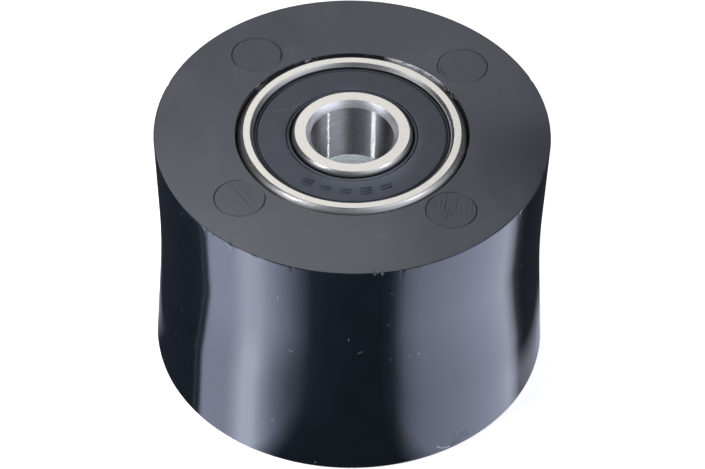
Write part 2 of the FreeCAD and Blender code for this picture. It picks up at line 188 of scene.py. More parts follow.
class Nodes:
    """Short ways to wire a node tree."""

    def __init__(self, tree):
        self.tree = tree
        tree.nodes.clear()

    def add(self, kind, inputs=None, **settings):
        node = self.tree.nodes.new(kind)
        for key, value in settings.items():
            setattr(node, key, value)
        for key, value in (inputs or {}).items():
            self.feed(node.inputs[key], value)
        return node

    def feed(self, socket, value):
        if isinstance(value, bpy.types.NodeSocket):
            self.tree.links.new(value, socket)
        else:
            socket.default_value = value

    def math(self, operation, a, b=0.0):
        return self.add("ShaderNodeMath", {0: a, 1: b}, operation=operation).outputs[0]

    def plus(self, a, b):
        return self.math("ADD", a, b)

    def times(self, a, b):
        return self.math("MULTIPLY", a, b)

    def remap(self, value, low, high, to_low, to_high):
        node = self.add("ShaderNodeMapRange", {0: value, 1: low, 2: high, 3: to_low, 4: to_high})
        return node.outputs[0]

    def ramp(self, value, stops):
        node = self.add("ShaderNodeValToRGB", {0: value})
        ramp = node.color_ramp
        while len(ramp.elements) < len(stops):
            ramp.elements.new(1)
        for element, (place, level) in zip(ramp.elements, sorted(stops, key=lambda stop: stop[0])):
            element.position = place
            element.color = (level, level, level, 1)
        return node.outputs[0]

    def noise(self, vector, scale, detail=3, roughness=0.5, distortion=0.0):
        node = self.add("ShaderNodeTexNoise", {"Vector": vector, "Scale": scale, "Detail": detail,
                                               "Roughness": roughness, "Distortion": distortion})
        return node.outputs["Fac"]

    def mix(self, factor, a, b):
        node = self.add("ShaderNodeMix", data_type="RGBA")
        for socket, value in ((node.inputs[0], factor), (node.inputs[6], a), (node.inputs[7], b)):
            self.feed(socket, value)
        return node.outputs[2]

    def vector(self, operation, a, b, output=0):
        return self.add("ShaderNodeVectorMath", {0: a, 1: b}, operation=operation).outputs[output]

    def scaled(self, vector, x, y, z):
        return self.vector("MULTIPLY", vector, (x, y, z))

    def distance(self, a, b):
        """How far apart two places are."""
        return self.vector("DISTANCE", a, b, "Value")

    def joined(self, x, y=0.0, z=0.0):
        return self.add("ShaderNodeCombineXYZ", {0: x, 1: y, 2: z}).outputs[0]

    def round_axis(self, at, scale, height=0.0):
        """Coordinates that close round the axis, for marks that run round it."""
        x, y = (self.times(at[part], scale) for part in ("cos", "sin"))
        return self.joined(x, y, height)

    def sector(self, at, degrees, start, full, share=1.0):
        """share within full degrees of a direction from the axis, fading to 0 at start degrees."""
        angle = math.radians(degrees)
        ahead = self.plus(self.times(at["cos"], math.cos(angle)), self.times(at["sin"], math.sin(angle)))
        return self.remap(ahead, math.cos(math.radians(start)), math.cos(math.radians(full)), 0, share)

    def stroke(self, place, start, end, width):
        """1 on a straight stroke between two points of a flat drawing, 0 away from it."""
        run_x, run_y = end[0] - start[0], end[1] - start[1]
        length = math.hypot(run_x, run_y)
        from_start = self.vector("SUBTRACT", place, (*start, 0))
        along = self.vector("DOT_PRODUCT", from_start, (run_x / length, run_y / length, 0), "Value")
        held = self.add("ShaderNodeClamp", {0: along, 1: 0.0, 2: length}).outputs[0]
        foot = self.vector("MULTIPLY", self.joined(held, held), (run_x / length, run_y / length, 0))
        return self.remap(self.distance(from_start, foot), width, width * 0.3, 0, 1)


def set_surface(nodes, closure):
    """Makes closure what the material shows."""
    output = next(node for node in nodes.tree.nodes if node.type == "OUTPUT_MATERIAL")
    nodes.tree.links.new(closure.outputs[0], output.inputs["Surface"])


def new_material(name):
    """A material's node helper, its shader, and coordinates in mm: plain, and round the axis."""
    material = bpy.data.materials.new(name)
    material.use_nodes = True
    nodes = Nodes(material.node_tree)
    shader = nodes.add("ShaderNodeBsdfPrincipled")
    nodes.add("ShaderNodeOutputMaterial")
    set_surface(nodes, shader)
    place = nodes.add("ShaderNodeTexCoord").outputs["Object"]
    flat = nodes.scaled(place, 1 / MM, 1 / MM, 1 / MM)
    x, y, z = nodes.add("ShaderNodeSeparateXYZ", {0: flat}).outputs
    square = nodes.plus(nodes.times(x, x), nodes.times(y, y))
    radius = nodes.math("SQRT", square)
    at = {"mm": flat, "x": x, "y": y, "z": z, "r": radius,
          "cos": nodes.math("DIVIDE", x, radius), "sin": nodes.math("DIVIDE", y, radius)}
    return material, nodes, shader, at


def set_shader(nodes, shader, **values):
    """Sets or links the shader's sockets by name, with _ for a space."""
    for key, value in values.items():
        nodes.feed(shader.inputs[key.replace("_", " ")], value)


def bumped(nodes, shader, height, depth):
    """Bump from a height; depth is what a height of 1 stands for, in mm."""
    node = nodes.add("ShaderNodeBump", {"Strength": 1.0, "Distance": depth * MM, "Height": height})
    nodes.tree.links.new(node.outputs[0], shader.inputs["Normal"])


# ---------------- materials


def specks(nodes, vector, scale, size, share=0.35):
    """Small separate dots: 1 on a dot, 0 between. share says about how many of them are there."""
    node = nodes.add("ShaderNodeTexVoronoi", {"Vector": vector, "Scale": scale})
    wanted = nodes.add("ShaderNodeSeparateColor", {0: node.outputs["Color"]}).outputs[0]
    near = nodes.remap(node.outputs["Distance"], size, size * 0.6, 0, 1)
    return nodes.times(near, nodes.math("LESS_THAN", wanted, share))


def hairs(nodes, vector, scale, reach, share):
    """Short curled lint hairs: thin level lines of a noise, kept only near a few scattered points."""
    near = specks(nodes, vector, scale, reach, share)
    level = nodes.math("ABSOLUTE", nodes.math("SUBTRACT", nodes.noise(vector, scale * 3.1, 2, 0.4), 0.5))
    return nodes.times(near, nodes.remap(level, 0.014, 0.006, 0, 1))


# places on the unrolled side, in mm: round the rim from the front, and up
RAKE_FOOT, RAKE_TIPS = (10.4, -13.1), [(11.1, -11.6), (11.9, -11.7), (12.5, -11.8), (12.7, -12.4)]
BURR = [(9.1, -12.35), (9.6, -12.8), (10.5, -13.0)]
SCRUB = (23.2, -3.5, 0)


def gloss_plastic():
    """Glossy moulded side: deep black, draw lines, scuffs, dust, a scrubbed patch and a raked scratch."""
    material, n, shader, at = new_material("roller_gloss")
    lines = n.noise(n.joined(at["cos"], at["sin"], n.times(at["z"], 0.004)), 160, 3, 0.6)
    cloud = n.noise(at["mm"], 0.35, 4, 0.55)
    dust = n.math("MAXIMUM", specks(n, at["mm"], 0.62, 0.05, 0.2), hairs(n, at["mm"], 0.55, 0.16, 0.16))
    scuff = n.noise(n.scaled(at["mm"], 1, 1, 0.25), 6, 4, 0.6)
    rub = n.remap(n.noise(n.scaled(at["mm"], 1, 1, 0.22), 4.2, 3, 0.55), 0.66, 0.74, 0, 1)
    turn = n.math("ARCTAN2", at["x"], n.times(at["y"], -1.0))
    flat = n.joined(n.times(turn, RIM), at["z"])
    draw = random.Random(11)
    for _ in range(18):
        start = (draw.uniform(-58, 58), draw.uniform(-12, 12))
        lean = draw.uniform(0, math.pi)
        length = draw.uniform(0.25, 0.65)
        end = (start[0] + length * math.cos(lean), start[1] + length * math.sin(lean))
        dust = n.math("MAXIMUM", dust, n.times(n.stroke(flat, start, end, 0.045), 0.5))
    rake = 0.0
    for tip in RAKE_TIPS:
        rake = n.math("MAXIMUM", n.stroke(flat, RAKE_FOOT, tip, 0.07), rake)
    patch = n.distance(n.scaled(n.vector("SUBTRACT", flat, SCRUB), 0.6, 0.24, 0), (0, 0, 0))
    scrub = n.noise(n.scaled(flat, 3.2, 1.1, 0), 1.6, 4, 0.75, 0.6)
    scrub = n.times(n.remap(patch, 1.2, 0.5, 0, 1), n.remap(scrub, 0.56, 0.64, 0, 1))
    burr = n.math("MAXIMUM", n.stroke(flat, *BURR[:2], 0.08), n.stroke(flat, *BURR[1:], 0.08))
    color = n.mix(cloud, (0.0025, 0.0045, 0.0065, 1), (0.0055, 0.0085, 0.0125, 1))
    color = n.mix(n.times(scrub, 0.22), color, (0.2, 0.22, 0.28, 1))
    color = n.mix(n.math("MAXIMUM", dust, burr), color, (0.3, 0.31, 0.34, 1))
    rough = n.remap(scuff, 0.4, 0.7, 0.07, 0.11)
    rough = n.plus(rough, n.times(n.math("MAXIMUM", dust, rake), 0.3))
    set_shader(n, shader, Base_Color=color, Roughness=rough, IOR=1.5)
    height = n.plus(n.times(lines, 0.35), n.times(cloud, 0.5))
    height = n.plus(height, n.times(dust, 4.0))
    height = n.plus(height, n.times(rub, 0.7))
    height = n.math("SUBTRACT", height, n.times(rake, 9.0))
    bumped(n, shader, height, 0.002)
    return material


# the end face's painted light and shade, slow changes of tone that stand in for how the lamps fall on it:
# place, full within, gone beyond, share, and colour
PAINTED_LIGHT_AND_SHADE = [((19.5, -3.5), 2.5, 8.6, 0.85, (0.016, 0.02, 0.03, 1)),
         ((11.5, 12.5), 3.5, 13, 0.8, (0.077, 0.085, 0.1, 1)),
         ((-5, -18), 6, 20, 0.65, (0.075, 0.082, 0.09, 1)),
         ((-19, 3), 2, 8, 0.25, (0.05, 0.048, 0.05, 1))]
# its scuffs: place and reach
SCUFFS = [((7.7, 10.6), 1.5), ((-6.1, 11.4), 1.0), ((-11.3, 8.2), 1.2), ((3.0, -13.5), 0.8)]


def satin_plastic():
    """Satin end face: charcoal grey, flow blush, fine scratches, scuffs, slightly darker pin marks, and broad
    patches of painted light and shade.
    """
    material, n, shader, at = new_material("roller_satin")
    blush = n.noise(at["mm"], 0.12, 4, 0.55, 0.6)
    grain = n.noise(at["mm"], 9, 3, 0.6)
    scratch = n.noise(n.scaled(at["mm"], 0.35, 2.2, 1), 1.7, 6, 0.75, 0.4)
    dust = n.math("MAXIMUM", specks(n, at["mm"], 0.6, 0.045, 0.3), hairs(n, at["mm"], 0.3, 0.2, 0.08))
    color = n.mix(n.remap(blush, 0.35, 0.7, 0, 1), (0.045, 0.051, 0.067, 1), (0.058, 0.065, 0.082, 1))
    color = n.mix(n.remap(grain, 0.3, 0.8, 0, 0.35), color, (0.069, 0.077, 0.095, 1))
    sweep = n.noise(n.scaled(at["mm"], 1.0, 0.25, 1), 0.55, 4, 0.6, 0.3)
    color = n.mix(n.remap(sweep, 0.5, 0.68, 0, 0.3), color, (0.034, 0.036, 0.043, 1))
    flat = n.joined(at["x"], at["y"])
    # painted light and shade: broad lighter and darker patches where the lamps fall more or less on the face
    for spot, near, far, share, tone in PAINTED_LIGHT_AND_SHADE:
        color = n.mix(n.remap(n.distance(flat, (*spot, 0)), far, near, 0, share), color, tone)
    scuff = n.remap(n.noise(n.scaled(at["mm"], 1.0, 0.5, 1), 3.4, 4, 0.7, 0.5), 0.5, 0.66, 0, 1)
    for spot, reach in SCUFFS:
        smudge = n.remap(n.distance(flat, (*spot, 0)), reach, reach * 0.3, 0, 0.55)
        smudge = n.times(smudge, scuff)
        color = n.mix(smudge, color, (0.15, 0.155, 0.165, 1))
    for turn in MARK_TURNS:
        away = n.distance(flat, (*mark_centre(turn), 0))
        inside = n.remap(away, MARK_RADIUS + 0.03, MARK_RADIUS - 0.03, 0, 0.22)
        color = n.mix(inside, color, (0.03, 0.033, 0.04, 1))
    color = n.mix(dust, color, (0.22, 0.22, 0.22, 1))
    rough = n.remap(n.plus(blush, n.times(scratch, 0.5)), 0.4, 1.1, 0.4, 0.3)
    set_shader(n, shader, Base_Color=color, Roughness=rough, IOR=1.5)
    height = n.plus(n.times(grain, 0.6), n.times(scratch, 0.8))
    bumped(n, shader, height, 0.006)
    return material


def mouth_plastic():
    """The mouth round a bearing: glossy black, scraped pale in places where the bearing was pressed in, and
    painted pale in two sectors as a highlight.
    """
    material, n, shader, at = new_material("roller_mouth")
    patch = n.remap(n.noise(n.round_axis(at, 3.0), 0.9, 2, 0.5), 0.56, 0.64, 0, 1)
    # worn: two sectors scraped pale, partly wear and partly a painted highlight where glints fall on the
    # mouth
    worn = n.math("MAXIMUM", n.sector(at, 56, 19, 11), n.sector(at, -118, 12, 3))
    thread = n.noise(n.round_axis(at, 2.0, n.plus(at["r"], at["z"])), 6.5, 4, 0.7)
    scrape_and_glint = n.times(patch, n.remap(thread, 0.54, 0.6, 0, 0.7))
    scrape_and_glint = n.math("MAXIMUM", scrape_and_glint, n.times(worn, n.remap(thread, 0.4, 0.48, 0, 1)))
    color = n.mix(scrape_and_glint, (0.003, 0.004, 0.006, 1), (0.62, 0.63, 0.67, 1))
    set_shader(n, shader, Base_Color=color, Roughness=n.remap(scrape_and_glint, 0, 1, 0.14, 0.35), IOR=1.5)
    bumped(n, shader, n.plus(thread, scrape_and_glint), 0.01)
    return material


def ground_steel(name, base, rough, line_scale, line_depth):
    """Ground steel: lines round the axis, slight clouding, rare pits, and rougher flecked corners, painted
    darker as shade that dims their highlights.
    """
    material, n, shader, at = new_material(name)
    across = n.joined(n.plus(at["r"], at["z"]), n.times(at["cos"], 1.2), n.times(at["sin"], 1.2))
    lines = n.noise(across, line_scale, 4, 0.7)
    fine = n.noise(n.joined(at["r"], at["z"]), line_scale * 3, 2, 0.6)
    cloud = n.noise(at["mm"], 0.8, 4, 0.6)
    stain = n.remap(n.noise(at["mm"], 2.6, 5, 0.7), 0.52, 0.62, 0, 1)
    pits = specks(n, at["mm"], 1.1, 0.05)
    dark = tuple(c * 0.94 for c in base)
    color = n.mix(n.remap(cloud, 0.3, 0.7, 0, 1), (*dark, 1), (*base, 1))
    color = n.mix(n.times(stain, 0.08), color, (0.55, 0.55, 0.6, 1))
    color = n.mix(pits, color, (0.3, 0.29, 0.28, 1))
    roughness = n.remap(n.plus(cloud, lines), 0.7, 1.3, rough - 0.04, rough + 0.05)
    rounded = n.remap(n.math("ABSOLUTE", at["z"]), RING_HIGH[2] - 0.05, RING_HIGH[2] - 0.2, 0, 1)
    # painted shade: the corners' colour is darkened to dim their highlights; their flecks and extra roughness
    # are the finish
    color = n.mix(n.times(rounded, 0.7), color, (0.42, 0.42, 0.425, 1))
    fleck = n.times(n.noise(at["mm"], 6.5, 3, 0.6), n.times(rounded, 3.0))
    roughness = n.plus(roughness, n.times(rounded, 0.13))
    set_shader(n, shader, Base_Color=color, Roughness=roughness, Metallic=1.0)
    height = n.plus(n.plus(lines, n.times(fine, 0.3)), fleck)
    bumped(n, shader, height, line_depth)
    return material


def turned_chamfer():
    """The bore's chamfers: turned, not ground, so less sharp in what they mirror, with lines round them, and
    a near-white colour, brighter than the rings' steel, that is painted light.
    """
    material, n, shader, at = new_material("bore_chamfer_steel")
    level = n.plus(at["r"], n.times(at["z"], 0.6))
    lines = n.noise(n.joined(level, at["cos"], at["sin"]), 5.0, 4, 0.7)
    cloud = n.noise(at["mm"], 1.6, 4, 0.6)
    # painted light: a near-white colour, brighter than the rings' ground steel, so that the chamfers shine
    # brighter
    color = n.mix(n.remap(lines, 0.4, 0.62, 0, 1), (0.9, 0.91, 0.93, 1), (1.0, 1.0, 1.0, 1))
    set_shader(n, shader, Base_Color=color, Roughness=n.remap(cloud, 0.3, 0.7, 0.32, 0.4), Metallic=1.0)
    bumped(n, shader, lines, 0.0015)
    return material


def honed_bore():
    """Honed bore: dark polished steel, whose fine lines draw each light out into a tall narrow streak.
    Two bands of it are painted dark, as shade for the dark inside of the bore that they mirror."""
    material, n, shader, at = new_material("bore_honed_steel")
    lines = n.noise(n.round_axis(at, 0.9, n.times(at["z"], 2.6)), 3.2, 6, 0.75, 0.5)
    fine = n.noise(n.joined(at["cos"], at["sin"], n.times(at["z"], 9.0)), 3.0, 3, 0.6)
    cloud = n.noise(at["mm"], 0.9, 4, 0.6)
    color = n.mix(n.remap(lines, 0.42, 0.6, 0, 1), (0.13, 0.13, 0.135, 1), (0.24, 0.24, 0.25, 1))
    color = n.mix(n.remap(cloud, 0.3, 0.7, 0, 0.25), color, (0.2, 0.2, 0.21, 1))
    # painted shade: two bands darkened in colour, standing in for the dark inside that they mirror
    painted_shade_bands = n.math("MAXIMUM", n.sector(at, 15, 37, 21), n.sector(at, 155, 17, 6, 0.5))
    painted_shade_bands = n.times(painted_shade_bands, n.remap(cloud, 0.3, 0.6, 0.75, 1))
    color = n.mix(n.times(painted_shade_bands, 0.8), color, (0.02, 0.02, 0.022, 1))
    tangent = n.add("ShaderNodeTangent", direction_type="RADIAL", axis="Z").outputs[0]
    set_shader(n, shader, Base_Color=color, Roughness=n.remap(lines, 0.35, 0.65, 0.26, 0.34), Metallic=1.0,
               Anisotropic=0.9, Anisotropic_Rotation=0.25, Tangent=tangent)
    bumped(n, shader, n.plus(lines, n.times(fine, 0.4)), 0.0008)
    facing = n.add("ShaderNodeNewGeometry").outputs["Normal"]
    tipped = n.vector("NORMALIZE", n.vector("ADD", facing, (0, 0, 1.12)), (0, 0, 0))
    bright = n.mix(n.remap(lines, 0.4, 0.62, 0, 1), (0.66, 0.66, 0.67, 1), (0.86, 0.86, 0.87, 1))
    # the painted shade darkens the streaks in these bands too
    bright = n.mix(n.times(painted_shade_bands, 0.75), bright, (0.02, 0.02, 0.022, 1))
    streak = n.add("ShaderNodeBsdfAnisotropic", {"Color": bright, "Roughness": 0.2, "Anisotropy": 0.86,
                                                 "Rotation": 0.0, "Normal": tipped, "Tangent": tangent})
    share = n.remap(fine, 0.3, 0.7, 0.4, 0.56)
    set_surface(n, n.add("ShaderNodeMixShader", {0: share, 1: shader.outputs[0], 2: streak.outputs[0]}))
    return material


LINT = [((-5.86, 3.27), (-5.5, 3.9)), ((-5.5, 3.9), (-4.92, 4.4)), ((-7.6, 3.1), (-7.0, 3.2)),
        ((-7.0, 3.2), (-6.2, 3.5)), ((7.4, -3.3), (7.46, -3.26)), ((-6.2, -2.3), (-6.14, -2.32))]


def rubber(name, base):
    """Moulded rubber: matt charcoal, fine grain, faint flow clouds and lint."""
    material, n, shader, at = new_material(name)
    grain = n.noise(at["mm"], 14, 3, 0.6)
    cloud = n.noise(at["mm"], 0.5, 4, 0.6)
    lint = n.math("MAXIMUM", specks(n, at["mm"], 0.8, 0.05, 0.16), hairs(n, at["mm"], 0.5, 0.22, 0.08))
    flat = n.joined(at["x"], at["y"])
    for start, end in LINT:
        lint = n.math("MAXIMUM", lint, n.times(n.stroke(flat, start, end, 0.05), 0.6))
    light = tuple(c * 1.35 for c in base)
    color = n.mix(n.remap(cloud, 0.3, 0.7, 0, 1), (*base, 1), (*light, 1))
    color = n.mix(lint, color, (0.2, 0.2, 0.2, 1))
    set_shader(n, shader, Base_Color=color, Roughness=n.remap(cloud, 0.3, 0.7, 0.42, 0.5), IOR=1.5)
    bumped(n, shader, n.plus(grain, n.times(lint, 3)), 0.004)
    return material


def zinc_plate():
    """Zinc plating: pale, bluish, mottled, with turned lines round the tube."""
    material, n, shader, at = new_material("sleeve_zinc")
    mottle = n.noise(at["mm"], 2.4, 5, 0.65, 0.8)
    turned = n.noise(n.joined(at["r"], at["z"]), 5.5, 3, 0.6)
    color = n.mix(n.remap(mottle, 0.3, 0.7, 0, 1), (0.5, 0.57, 0.6, 1), (0.82, 0.87, 0.88, 1))
    color = n.mix(n.remap(turned, 0.5, 0.62, 0, 0.6), color, (0.3, 0.36, 0.39, 1))
    set_shader(n, shader, Base_Color=color, Roughness=n.remap(mottle, 0.3, 0.7, 0.55, 0.4), Metallic=0.55)
    bumped(n, shader, n.plus(mottle, n.times(turned, 0.8)), 0.006)
    return material


def sheet_steel(name, base):
    """Pressed sheet: dull, slightly mottled, with drawn streaks."""
    material, n, shader, at = new_material(name)
    cloud = n.noise(at["mm"], 1.5, 4, 0.6)
    streak = n.noise(n.scaled(at["mm"], 6, 1, 1), 2.5, 3, 0.6)
    dark = tuple(c * 0.75 for c in base)
    color = n.mix(n.remap(cloud, 0.3, 0.7, 0, 1), (*dark, 1), (*base, 1))
    set_shader(n, shader, Base_Color=color, Roughness=n.remap(streak, 0.3, 0.7, 0.3, 0.45), Metallic=1.0)
    bumped(n, shader, streak, 0.003)
    return material


GLOSS = gloss_plastic()
SATIN = satin_plastic()
MOUTH = mouth_plastic()
RING_STEEL = ground_steel("ring_ground_steel", (0.72, 0.705, 0.68), 0.23, 10.0, 0.0008)
BORE_STEEL = honed_bore()
CHAMFER_STEEL = turned_chamfer()
BALL_STEEL = ground_steel("ball_polished_steel", (0.72, 0.72, 0.72), 0.08, 4.0, 0.0004)
RUBBER = rubber("seal_rubber", (0.038, 0.044, 0.057))
ZINC = zinc_plate()
CAGE_STEEL = sheet_steel("cage_sheet", (0.58, 0.57, 0.54))
WASHER_STEEL = sheet_steel("washer_sheet", (0.5, 0.5, 0.5))

# ---------------- roller body


def small_nicks(seed, count):
    """Shallow dents that handling leaves along the near rim."""
    draw = random.Random(seed)
    ranges = ((-160, -15), (0.25, 0.8), (0.01, 0.035))
    return [tuple(draw.uniform(*limits) for limits in ranges) for _ in range(count)]


# nicks in the upper rim: direction in degrees, width and depth in mm
NICKS = [(-125.8, 0.8, 0.1), (-82.6, 0.34, 0.12), (-81.2, 0.3, -0.08), (-117.0, 1.2, 0.04), (25.0, 0.5, 0.05),
         (160.0, 0.6, 0.05), (-33.0, 0.4, 0.03)] + small_nicks(21, 14)


def body_angles():
    """Even steps, with closer ones at the nicks in the rim."""
    angles = set(round(a, 6) for a in circle(400))
    for degrees, width, _ in NICKS:
        middle = math.radians(degrees) % TAU
        for i in range(-8, 9):
            angles.add(round((middle + i * width / 5 / RIM) % TAU, 6))
    kept = []
    for a in sorted(angles):
        if not kept or a - kept[-1] > 0.0009:
            kept.append(a)
    return kept


def rim_wear(r, z, a):
    """Nicks that dent the rim, and the slight waviness of a moulded edge."""
    corner = math.hypot(r - RIM, z - FACE)
    if corner > 0.6:
        return 0, 0
    near = bump(corner, 0.3)
    dent = 0
    for degrees, width, depth in NICKS:
        apart = (a - math.radians(degrees) + math.pi) % TAU - math.pi
        dent += depth * bump(apart * RIM, width / 2.4)
    wave = 0.008 * math.sin(7 * a + 1) * math.sin(3 * a)
    return -(dent * 0.8 + wave * wave * 40) * near, -dent * 0.9 * near


def body_side():
    """Rows of the upper half of the side, from the end face over the rim and the flank to the waist."""
    slope = math.radians(FLANK_LEAN)
    centre = WAIST + WAIST_ARC
    meet = (centre - WAIST_ARC * math.cos(slope), WAIST_ARC * math.sin(slope))
    foot = RIM - RIM_EDGE * math.tan(slope) - RIM_EDGE / math.cos(slope)
    rows = [(RIM - 0.4, FACE), (RIM - 0.27, FACE), (RIM - 0.17, FACE), (RIM - 0.1, FACE)]
    rows += arc(foot, FACE - RIM_EDGE, RIM_EDGE, 90, -FLANK_LEAN, 5)
    rows += [(RIM - 0.012 - i * 0.0034, FACE - 0.2 - i * 0.07) for i in range(4)]
    rows += run(rows[-1], meet, 10)[1:]
    steps = 9
    turns = [slope * (1 - i / steps) for i in range(steps + 1)]
    return rows + [(centre - WAIST_ARC * math.cos(t), WAIST_ARC * math.sin(t)) for t in turns]


def mark_line(kind, turn):
    """How deep the groove round an ejector pin mark is, by direction: it fades out in places."""
    arcs = [[(25, 45, 1.0), (85, 35, 0.8), (-30, 30, 0.7), (170, 32, 0.75)],
            [(120, 40, 0.75), (185, 45, 0.7), (45, 30, 0.85), (0, 20, 0.8)],
            [(95, 22, 1.0), (-5, 28, 1.0), (200, 60, 0.75), (-80, 60, 0.7), (150, 40, 0.5)],
            [(165, 40, 1.0), (95, 28, 0.95), (15, 32, 0.95), (-35, 30, 0.7), (-90, 60, 0.35)]][kind]
    away = math.degrees(turn) + 180
    return min(1, sum(depth * bump((away - centre) % 360 - 180, spread) for centre, spread, depth in arcs))


def drawn(u, v, start, end, width):
    """1 on a straight stroke, fading away to its sides and its ends."""
    run_u, run_v = end[0] - start[0], end[1] - start[1]
    length = math.hypot(run_u, run_v)
    along = ((u - start[0]) * run_u + (v - start[1]) * run_v) / length
    side = ((u - start[0]) * run_v - (v - start[1]) * run_u) / length
    ends = min(1, max(0, along / 0.3)) * min(1, max(0, (length - along) / 0.3))
    return ends * bump(side, width)


def streaks(seed, count):
    """Short, nearly parallel drag streaks that a worn pin leaves: start, end, width and depth."""
    draw = random.Random(seed)
    found = []
    for _ in range(count):
        u, v = draw.uniform(-2.1, 2.0), draw.uniform(-2.0, 0.4)
        length = draw.uniform(0.9, 2.6)
        lean = draw.uniform(0.08, 0.16)
        end = (u + lean * length, v + length)
        found.append(((u, v), end, draw.uniform(0.03, 0.045), draw.uniform(0.008, 0.02)))
    return found


STREAKS = streaks(5, 34)
# folds in the third mark: start, end, width and depth
FOLDS = [((-0.85, 1.95), (1.3, -1.45), 0.06, 0.035), ((-0.43, 2.15), (1.57, -0.4), 0.07, 0.03),
         ((-0.42, 0.72), (0.75, -0.72), 0.04, -0.02)]


def scored(u, v, lines):
    """How deep a set of strokes is at a point."""
    return sum(depth * drawn(u, v, start, end, width) for start, end, width, depth in lines)


def mark_height(kind, u, v):
    """Height of an ejector pin mark at (u, v) mm from its centre."""
    rho = math.hypot(u, v)
    turn = math.atan2(v, u)
    inside = min(1, max(0, (MARK_RADIUS + 0.04 - rho) / 0.08))
    height = -0.015 * inside - 0.13 * mark_line(kind, turn) * bump(rho - MARK_RADIUS, 0.042)
    fade = inside * min(1, max(0, (2.36 - rho) / 0.16))
    if kind == 0:                                    # nearly plain, with a burr inside its left edge
        height += 0.05 * bump(rho - 2.26, 0.09) * bump(turn + 2.75, 0.28)
        height -= fade * 0.002 * math.sin(u * 3 + v)
    elif kind == 1:                                  # faint ripples, and a blush lip outside its right edge
        height -= fade * 0.01 * math.sin(u * 2.2 + 1.4 * math.sin(v * 1.6))
        height += 0.02 * bump(rho - 2.53, 0.035) * bump(turn - 0.75, 0.6)
    elif kind == 2:                                  # two folds that run down to the right
        height -= fade * scored(u, v, FOLDS)
        height += 0.05 * bump(rho - 2.51, 0.035) * (bump(turn - 1.05, 0.12) + bump(turn - 2.3, 0.18))
    else:                                            # fine upright streaks, and lips below its lower edge
        height -= fade * scored(u, v, STREAKS)
        height += 0.03 * bump(rho - 2.52, 0.035) * bump(turn + 1.5, 0.42)
    return height


def mark_patch(shape, kind, turn):
    """A fine round patch of the end face with one ejector pin mark; returns its rim and its centre."""
    cx, cy = mark_centre(turn)
    radii = [0.06 * i for i in range(1, 38)] + [2.26, 2.3, 2.33, 2.355, 2.38, 2.4, 2.42, 2.44, 2.46]
    radii += [2.485, 2.51, 2.53, 2.55, 2.57, 2.585, MARK_EDGE]
    around = circle(MARK_STEPS)
    verts = [(cx, cy, FACE + mark_height(kind, 0, 0))]
    for rho in radii:
        last = rho == MARK_EDGE
        for a in around:
            u, v = rho * math.cos(a), rho * math.sin(a)
            verts.append((cx + u, cy + v, FACE + (0 if last else mark_height(kind, u, v))))
    n = len(around)
    faces = [(0, 1 + k, 1 + (k + 1) % n) for k in range(n)]
    for i in range(len(radii) - 1):
        for k in range(n):
            after = (k + 1) % n
            faces.append((1 + i * n + k, 1 + (i + 1) * n + k, 1 + (i + 1) * n + after, 1 + i * n + after))
    shape.add(verts, faces, 1)
    return [v[:2] for v in verts[-n:]], (cx, cy)


def end_face(shape, angles, outer, inner):
    """The flat part of the upper end face, between its two edges and round the four marks."""
    loops = [[(outer * math.cos(a), outer * math.sin(a)) for a in angles],
             [(inner * math.cos(a), inner * math.sin(a)) for a in angles]]
    centres = []
    for kind, turn in enumerate(MARK_TURNS):
        rim, centre = mark_patch(shape, kind, turn)
        loops.append(rim)
        centres.append(centre)
    points, edges = [], []
    for loop in loops:
        base = len(points)
        points += [Vector(p) for p in loop]
        edges += [(base + i, base + (i + 1) % len(loop)) for i in range(len(loop))]
    verts, _, faces, _, _, _ = delaunay_2d_cdt(points, edges, [], 0, 1e-6)
    patch_reach = MARK_EDGE * math.cos(math.pi / MARK_STEPS) - WELD
    kept = []
    for face in faces:
        middle = sum((verts[i] for i in face), Vector((0, 0))) / len(face)
        clear = all((middle - Vector(c)).length > patch_reach for c in centres)
        if clear and inner * 0.99996 < middle.length < outer:
            kept.append(tuple(face))
    shape.add([(v.x, v.y, FACE) for v in verts], kept, 1)


def make_body():
    """The moulded roller: glossy side and inside, satin end faces, and the mouths round the bearings."""
    shape = Shape()
    angles = body_angles()
    upper = body_side()
    side = upper + mirror(upper[:-1])
    flat = 4  # rows at each end of the side that lie in an end face
    glossy, satin, scraped = 0, 1, 2  # places in the list of materials
    shape.lathe(side[:flat + 2], angles, slot=satin, shift=rim_wear)
    shape.lathe(side[flat + 1:-flat - 1], angles, slot=glossy, shift=rim_wear)
    mouth = [(RING_OUT + wider, FACE - deep) for wider, deep in MOUTH_EDGE]
    floor = round(RING_LOW[2], 3)
    seat = [mouth[-1], (RING_OUT, 9.9), (RING_OUT, floor), (WEB_BORE + WEB_CHAMFER, floor),
            (WEB_BORE, floor - WEB_CHAMFER)]
    low = side[-flat - 2:] + [(r, -FACE) for r in (17.0, 15.0, 13.0, 11.6, mouth[0][0])]
    shape.lathe(low, angles, slot=satin)
    shape.lathe([(r, -z) for r, z in mouth], angles, slot=scraped)
    shape.lathe([(r, -z) for r, z in seat] + [(WEB_BORE, 0)] + seat[::-1], angles, slot=glossy)
    shape.lathe(mouth, angles, slot=scraped)
    end_face(shape, angles, side[0][0], mouth[0][0])
    piece = shape.build("roller_shell", [GLOSS, SATIN, MOUTH], sharp=34)
    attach(piece, "roller")
    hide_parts("roller_body")


# ---------------- bearings


def settle(piece, side):
    """Moves a piece drawn about a bearing's centre to the upper (1) or the lower (-1) bearing."""
    if side < 0:
        piece.data.transform(Matrix.Rotation(math.pi, 4, "X"))
    piece.data.transform(Matrix.Translation((0, 0, side * BEARING_Z * MM)))
    piece.data.update()


